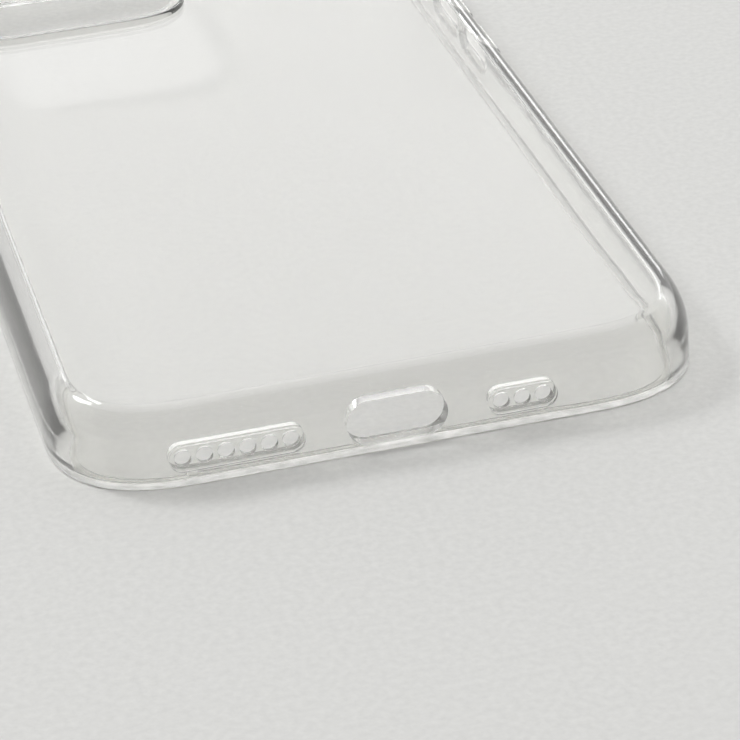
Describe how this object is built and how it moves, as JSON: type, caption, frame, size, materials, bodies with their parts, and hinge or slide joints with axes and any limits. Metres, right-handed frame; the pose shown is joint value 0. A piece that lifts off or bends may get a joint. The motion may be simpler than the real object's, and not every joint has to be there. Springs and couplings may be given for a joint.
{
  "type": "phone case",
  "caption": "Slim clear protective case for a mobile phone: hard clear back, soft clear bumper with lip, raised camera guard, port and sound openings, and sprung key covers.",
  "frame": {"origin": "on the plane of the lip, which the case rests on, under the middle of the case", "axes": "+Z out of the back, +Y towards the camera end, +X towards the volume keys; the open side faces -Z"},
  "size_m": [0.0762, 0.1476, 0.01],
  "materials": {
    "clear_hard_plastic": "water-clear moulded polycarbonate, polished on both faces",
    "clear_soft_plastic": "clear moulded thermoplastic polyurethane, glossy, a trace warmer than the back",
    "clear_key_plastic": "clear moulded thermoplastic polyurethane, glossy, thicker"
  },
  "bodies": {
    "case": {"bumper_frame": "clear_soft_plastic", "back_plate": "clear_hard_plastic", "camera_ring": "clear_soft_plastic"},
    "volume_up_key": {"volume_up_button": "clear_key_plastic"},
    "volume_down_key": {"volume_down_button": "clear_key_plastic"},
    "side_key": {"side_button": "clear_key_plastic"}
  },
  "joints": [
    {"name": "volume_up_press", "type": "slide", "parent": "case", "child": "volume_up_key", "axis": [-1, 0, 0], "range_m": [0, 0.00035], "stiffness_N_per_m": 2000},
    {"name": "volume_down_press", "type": "slide", "parent": "case", "child": "volume_down_key", "axis": [-1, 0, 0], "range_m": [0, 0.00035], "stiffness_N_per_m": 2000},
    {"name": "side_press", "type": "slide", "parent": "case", "child": "side_key", "axis": [1, 0, 0], "range_m": [0, 0.00035], "stiffness_N_per_m": 2000}
  ]
}
